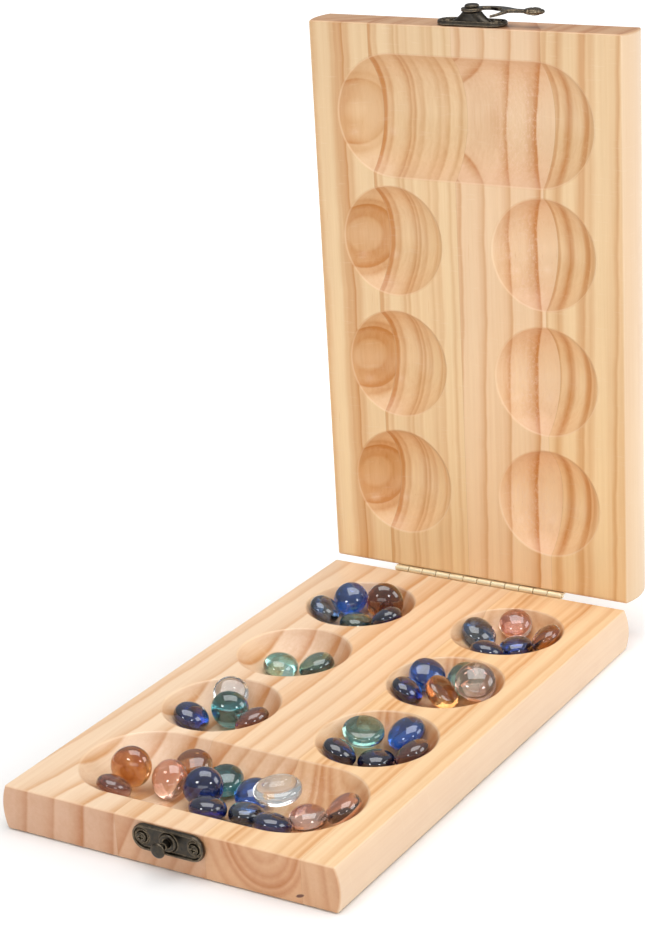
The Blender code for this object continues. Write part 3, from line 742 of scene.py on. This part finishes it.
# rings of each stave as (place across the face in mm, darkness); tone is the stave's own tint
UPPER_STAVES = (
    {"slope": 1.28, "tilt": 0.0, "tone": (0.985, 0.975, 0.93), "rings": (
        (-76, 0.1), (-73, 0.25), (-70, 0.45), (-67.8, 0.08), (-64.5, 0.04), (-62.8, 0.10), (-61.4, 0.40),
        (-60.1, 0.46), (-59.5, 0.66), (-57.6, 0.60), (-56.4, 0.76), (-55.8, 0.95), (-55.2, 0.45),
        (-53.4, 0.55), (-52, 0.25),
        (-50, 0.1), (-44, 0.1))},
    {"start": -43.0, "slope": 0.05, "tilt": 0.0, "tone": (0.99, 0.985, 0.945), "rings": (
        (-45, 0.2), (-43, 0.75), (-42, 0.75), (-41.3, 0.25), (-39.4, 0.45), (-38.4, 0.1), (-35.5, 0.04),
        (-33, 0.2), (-31, 0.55), (-30.3, 0.22), (-29, 0.5), (-28, 0.1), (-25, 0.32), (-23.7, 0.04),
        (-19.5, 0.06), (-17.2, 0.35), (-16, 0.18), (-13, 0.42), (-12, 0.04), (-9, 0.06), (-7.2, 0.42),
        (-6, 0.15), (-3.5, 0.1))},
    {"start": -4.2, "slope": -0.62, "tilt": 0.025, "curl": (12.0, 0.058), "tone": (1.0, 0.975, 1.01),
     "rings": (
        (-9, 0.1), (-7.5, 0.5), (-6.4, 0.65), (-5.6, 0.12), (-2, 0.04), (0.8, 0.1), (3, 0.38), (4.5, 0.65),
        (5.3, 0.12), (8, 0.03), (12.5, 0.1), (15, 0.38), (16.5, 0.68), (17.2, 0.12), (20, 0.03),
        (24.5, 0.1), (28, 0.42), (30.2, 0.9), (30.8, 0.1), (34, 0.04), (40, 0.06), (44, 0.4))},
    {"start": 36.0, "slope": 0.05, "tilt": 0.018, "tone": (0.99, 0.975, 0.925), "rings": (
        (30, 0.2), (33.6, 0.55), (34.4, 0.12), (36.5, 0.25), (38.8, 0.72), (40.3, 0.5), (41.8, 0.1),
        (44.5, 0.04), (46.5, 0.12), (48.6, 0.62), (50.6, 0.75), (51.6, 0.3), (53.6, 0.5), (55, 0.3),
        (56.2, 0.06), (61, 0.04), (63.8, 0.2), (65.6, 0.65), (66.6, 0.2), (70, 0.4), (73, 0.15))},
)
LOWER_STAVES = (
    {"slope": -0.12, "tilt": -0.022, "bend": 0.0012, "tone": (0.985, 1.03, 1.19), "rings": (
        (-76, 0.2), (-74, 0.45), (-73.4, 0.08), (-67, 0.12), (-63.4, 0.5), (-62.4, 0.06), (-56, 0.1),
        (-52, 0.28), (-49.8, 0.65), (-48.8, 0.05), (-44, 0.08), (-40, 0.3), (-37.4, 0.65), (-36.4, 0.05),
        (-31, 0.1), (-27, 0.45), (-24, 0.95), (-22.8, 0.08), (-17, 0.1), (-13, 0.4),
        (-10.3, 0.75), (-9.4, 0.1))},
    {"start": -21.0, "slope": -0.55, "tilt": 0.0, "tone": (0.99, 0.99, 1.06), "rings": (
        (-24, 0.1), (-18, 0.2), (-14, 0.5), (-12, 0.75), (-11, 0.06), (-7, 0.14), (-4, 0.55), (-2.8, 0.06),
        (1, 0.14), (4, 0.45), (5.2, 0.06), (9, 0.14), (12, 0.5), (13.2, 0.06), (16, 0.18), (19.2, 0.62),
        (20.6, 0.1), (24, 0.2), (26.6, 0.6), (27.8, 0.1), (34, 0.6))},
    {"start": 17.5, "slope": 0.8, "centre": 42.0, "tilt": 0.0, "tone": (1.0, 0.965, 0.93), "rings": (
        (2, 0.05), (4.0, 0.14), (6.4, 0.42), (8, 0.12), (9.6, 0.3), (11.0, 0.62), (12.4, 0.3), (14.4, 0.85),
        (15.4, 0.22), (16.8, 0.6), (18.4, 0.12), (20.5, 0.12), (22.6, 0.42), (24.0, 0.1), (28, 0.1))},
    {"start": 57.5, "slope": 0.1, "tilt": 0.0, "tone": (0.99, 0.98, 0.97), "rings": (
        (56, 0.05), (58.5, 0.32), (60, 0.06), (63, 0.05), (66.4, 0.45), (67.6, 0.08), (70, 0.2), (72, 0.5))},
)

# colour of the glass, and of the swirl through it
GLASS = {
    "navy": ((0.004, 0.014, 0.15), (0.02, 0.06, 0.34)),
    "cobalt": ((0.012, 0.08, 0.46), (0.06, 0.20, 0.68)),
    "slate": ((0.03, 0.07, 0.20), (0.13, 0.23, 0.38)),
    "aqua": ((0.20, 0.54, 0.50), (0.52, 0.80, 0.74)),
    "teal": ((0.03, 0.16, 0.18), (0.14, 0.38, 0.38)),
    "green": ((0.12, 0.32, 0.27), (0.38, 0.58, 0.50)),
    "amber": ((0.42, 0.13, 0.02), (0.66, 0.34, 0.12)),
    "peach": ((0.89, 0.49, 0.35), (0.95, 0.72, 0.62)),
    "mauve": ((0.24, 0.08, 0.06), (0.48, 0.26, 0.22)),
    "clear": ((0.84, 0.88, 0.88), (0.95, 0.96, 0.95)),
}


# ---------------------------------------------------------------- stones


def stone_profile(height):
    """(share of half width, height above the middle), from the flatter back to the dome."""
    girdle = -0.1 * height
    points = [(0.0, -0.5 * height)]
    for i in range(1, 12):
        a = math.pi / 2 * i / 12
        points.append((math.sin(a) ** (2 / 3.0), girdle - 0.4 * height * math.cos(a) ** (2 / 3.0)))
    for i in range(0, 15):
        a = math.pi / 2 * i / 15
        points.append((math.cos(a) ** (2 / 2.1), girdle + 0.6 * height * math.sin(a) ** (2 / 2.1)))
    return points + [(0.0, 0.5 * height)]


def measure_stone(node):
    """Middle, axis from back to dome, half width and height of a CAD stone, in millimetres."""
    places = {tuple(round(c / MM, 4) for c in vertex.co) for vertex in node.data.vertices}
    points = np.array(sorted(places))
    mean = points.mean(axis=0)
    axis = np.linalg.svd(points - mean)[2][2]
    up = (points - mean) @ axis
    middle = mean + axis * (up.max() + up.min()) / 2
    height = up.max() - up.min()
    flat = (points - middle) - np.outer((points - middle) @ axis, axis)
    radii = np.linalg.norm(flat, axis=1)
    girdle = ((points - middle) @ axis)[radii > 0.97 * radii.max()].mean()
    if girdle > 0:
        axis = -axis
    return Vector(middle), Vector(axis), float(radii.max()), float(height)


def make_stones(glasses):
    bodies = {n: body for body, names in frame["record"]["behaviour"]["bodies"].items() for n in names}
    for number, name in enumerate(sorted(n for n in frame["nodes"] if n.startswith("stone_"))):
        node = frame["nodes"][name]
        middle, axis, half, height = measure_stone(node)
        across = axis.orthogonal().normalized()
        aside = axis.cross(across)
        place = lambda a, b, w, m=middle, p=across, q=aside, n=axis: m + p * a + q * b + n * w
        p, q = 2.1 * number, 3.7 * number
        outline = lambda a, p=p, q=q: 0.965 + 0.022 * math.cos(2 * a + p) + 0.012 * math.cos(3 * a + q)
        slot = node.data.materials[0].name.split(".")[0]
        profile = [(share * half, up) for share, up in stone_profile(height)]
        stone = lathe("pebble" + name[5:], profile, 40, place, outline)
        glass_made = glasses[slot.replace("glass_", "")]
        piece(stone, glass_made, bodies[name], name, angle=80.0, weighted=False)


# ---------------------------------------------------------------- build


def build():
    pine = wood("pine_lower", False, LOWER_STAVES, RESIN_POCKET)
    make_leaf("lower_board_pine", lower_leaf, pine, "base", "lower_board")
    pine = wood("pine_upper", True, UPPER_STAVES)
    make_leaf("upper_board_pine", upper_leaf, pine, "lid", "upper_board")

    brass = metal("brass", (0.96, 0.82, 0.54), (1.0, 0.95, 0.77), 0.8, 0.38, 900.0, 0.5, 0.2)
    bronze = metal("antique_bronze", (0.050, 0.047, 0.043), (0.50, 0.38, 0.24), 0.95, 0.32, 700.0)
    steel = metal("steel", (0.060, 0.052, 0.044), (0.40, 0.32, 0.21), 0.9, 0.36, 900.0)
    hinge_plate("hinge_leaf_lower", lower_leaf, 0, brass, "base", "hinge_plate_lower")
    hinge_plate("hinge_leaf_upper", upper_leaf, 1, brass, "lid", "hinge_plate_upper")
    half_pin = KNUCKLE_COUNT * KNUCKLE_PITCH / 2 + 0.3
    place = lambda a, b, w: Vector((w, AXIS_Y + a, AXIS_Z + b))
    profile = [(PIN_RADIUS - 0.1, -half_pin), (PIN_RADIUS, 0.1 - half_pin), (PIN_RADIUS, half_pin - 0.1)]
    pin = lathe("hinge_rod", profile + [(PIN_RADIUS - 0.1, half_pin)], 32, place)
    piece(pin, brass, "base", "hinge_pin")

    head = -SEAT_GAP - PLATE_THICKNESS + 0.08
    profile = [(0, head), (1.95, head), (2.05, head + 0.06), (1.0, head + 0.75), (1.0, 7.5), (0, 9.0)]
    for side, leaf, body in (("lower", lower_leaf, "base"), ("upper", upper_leaf, "lid")):
        for number, x in enumerate(HINGE_SCREW_X, 1):
            place = lambda a, b, w, x=x, leaf=leaf: leaf(x + a, w, HINGE_SCREW_DEPTH + b)
            name = f"hinge_screw_{side}_{number}"
            looks = name.replace("screw", "cross_screw")
            make_screw(looks, profile, place, brass, head, 1.5, body, name)

    hook_end = on_end(upper_leaf, LATCH_X, LATCH_FROM_FACE)
    catch_end = on_end(lower_leaf, LATCH_X, LATCH_FROM_FACE)
    cone = [(9.0, 4.1, 0.6), (8.8, 4.0, 1.2), (8.1, 3.9, 2.0), (6.2, 3.9, 3.3), (4.9, 3.8, 4.4)]
    cone += [(4.3, 3.75, 5.1), (4.0, 3.5, 5.35)]
    latch_plate("hook_mount", hook_end, cone, bronze, "lid", "hook_plate")
    boss = [(4.1, 3.7, 0.6), (3.7, 3.6, 1.9), (3.2, 3.2, 2.4)]
    latch_plate("catch_mount", catch_end, boss, bronze, "base", "catch_plate")
    swing_hook("latch_hook", hook_end, bronze, "hook", "swing_hook")
    headed_pin("hook_stud", hook_end, RIVET_RADIUS, RIVET_RADIUS, bronze, "lid", "hook_rivet")
    headed_pin("catch_stud", catch_end, RIVET_RADIUS, 1.3, bronze, "base", "catch_peg")
    head = -2.7
    profile = [(0, head), (0.8, -2.66), (1.4, -2.45), (1.9, -2.1), (2.0, -1.6), (1.1, -0.85)]
    profile += [(1.1, 7.5), (0, 9.5)]
    for side, end, body in (("hook", hook_end, "lid"), ("catch", catch_end, "base")):
        for number, x in enumerate((-LATCH_SCREW_X, LATCH_SCREW_X), 1):
            place = lambda a, b, w, x=x, end=end: end(x + a, b, -w)
            name = f"{side}_screw_{number}"
            looks = name.replace("screw", "cross_screw")
            make_screw(looks, profile, place, steel, head, 1.4, body, name)
    glasses = {name: glass("cast_glass_" + name, *colours) for name, colours in GLASS.items()}
    make_stones(glasses)


# ---------------------------------------------------------------- studio


FLOOR_SIZE = 30.0
SKY_LOW = 0.25
SKY_HIGH = 0.56
SOFTBOXES = (
    # name, azimuth, elevation, distance, width, height, power
    ("front_left", -12.0, 24.0, 1.5, 0.26, 0.17, 1.6),
    ("front_right", 52.0, 24.0, 1.5, 0.26, 0.17, 1.6),
    ("low_fill", 15.0, 8.0, 1.8, 1.2, 0.4, 1.9),
    ("side", 102.0, 26.0, 1.6, 0.9, 0.7, 6.2),
    ("overhead", 30.0, 82.0, 2.2, 2.3, 1.7, 35.0),
)
CAMERA_AZIMUTH = 30.87
CAMERA_ELEVATION = 20.49
CAMERA_ROLL = -2.83
CAMERA_PLACE = (0.44738, -0.70688, 0.41394)
CAMERA_LENS = 90.568
CAMERA_SHIFT = (-0.061826, 0.030663)


def make_floor():
    """Pale paper that glows a little away from the board, so that it stays white."""
    bm = bmesh.new()
    bmesh.ops.create_grid(bm, x_segments=8, y_segments=8, size=FLOOR_SIZE)
    floor = new_object("floor", bm)
    floor.location = (0.0, 0.0, -0.0003)
    made, tree, shader = new_material("paper")
    place = add(tree, "TexCoord").outputs["Object"]
    grey = calc(tree, "MULTIPLY_ADD", noise(tree, place, 6.0, 2.0), 0.02, 0.88)
    pale = add(tree, "CombineColor", {0: grey, 1: grey, 2: grey}).outputs[0]
    tree.links.new(pale, shader.inputs["Base Color"])
    from_board = {0: place, 1: (-0.02, -0.11, 0.0)}
    reach = add(tree, "VectorMath", from_board, operation="DISTANCE").outputs["Value"]
    tree.links.new(rise(tree, reach, 0.16, 0.5, 0.6), shader.inputs["Emission Strength"])
    shader.inputs["Emission Color"].default_value = (1.0, 1.0, 1.0, 1.0)
    shader.inputs["Roughness"].default_value = 0.8
    shader.inputs["Specular IOR Level"].default_value = 0.2
    floor.data.materials.append(made)


def direction(azimuth, elevation):
    """From the board outwards; azimuth 0 is in front of the lower leaf and 90 to its right."""
    a, e = math.radians(azimuth), math.radians(elevation)
    return Vector((math.sin(a) * math.cos(e), -math.cos(a) * math.cos(e), math.sin(e)))


def softbox(name, azimuth, elevation, distance, width, height, power):
    """A lamp that faces the middle of the board, with its sides in metres."""
    light = bpy.data.lights.new(name, "AREA")
    light.shape = "RECTANGLE"
    light.size = width
    light.size_y = height
    light.energy = power
    obj = bpy.data.objects.new(name, light)
    back = direction(azimuth, elevation)
    obj.location = Vector((0.0, 0.0, 0.08)) + back * distance
    obj.rotation_mode = "QUATERNION"
    obj.rotation_quaternion = back.to_track_quat("Z", "Y")
    bpy.context.scene.collection.objects.link(obj)


def make_studio():
    scene = bpy.context.scene
    scene.view_settings.view_transform = "Standard"
    world = bpy.data.worlds.new("studio")
    world.use_nodes = True
    tree = world.node_tree
    height = add(tree, "SeparateXYZ", {0: add(tree, "TexCoord").outputs["Generated"]}).outputs[2]
    sky = add(tree, "MapRange", {0: height, 1: 0.0, 2: 0.9, 3: SKY_LOW, 4: SKY_HIGH}).outputs[0]
    seen = add(tree, "LightPath").outputs["Is Camera Ray"]
    tree.links.new(calc(tree, "MAXIMUM", sky, seen), tree.nodes["Background"].inputs["Strength"])
    tree.nodes["Background"].inputs["Color"].default_value = (1.0, 1.0, 1.0, 1.0)
    scene.world = world
    for facts in SOFTBOXES:
        softbox(*facts)


def make_camera():
    back = direction(CAMERA_AZIMUTH, CAMERA_ELEVATION)
    right = Vector((0.0, 0.0, 1.0)).cross(back).normalized()
    up = back.cross(right)
    roll = math.radians(CAMERA_ROLL)
    c, s = math.cos(roll), math.sin(roll)
    right, up = c * right + s * up, c * up - s * right
    turn = Matrix((right, up, back)).transposed().to_4x4()
    data = bpy.data.cameras.new("camera")
    data.sensor_width = 36.0
    data.lens = CAMERA_LENS
    data.shift_x, data.shift_y = CAMERA_SHIFT
    data.clip_start = 0.01
    camera = bpy.data.objects.new("camera", data)
    camera.matrix_world = Matrix.Translation(CAMERA_PLACE) @ turn
    bpy.context.scene.collection.objects.link(camera)
    bpy.context.scene.camera = camera


build()
make_floor()
make_studio()
make_camera()
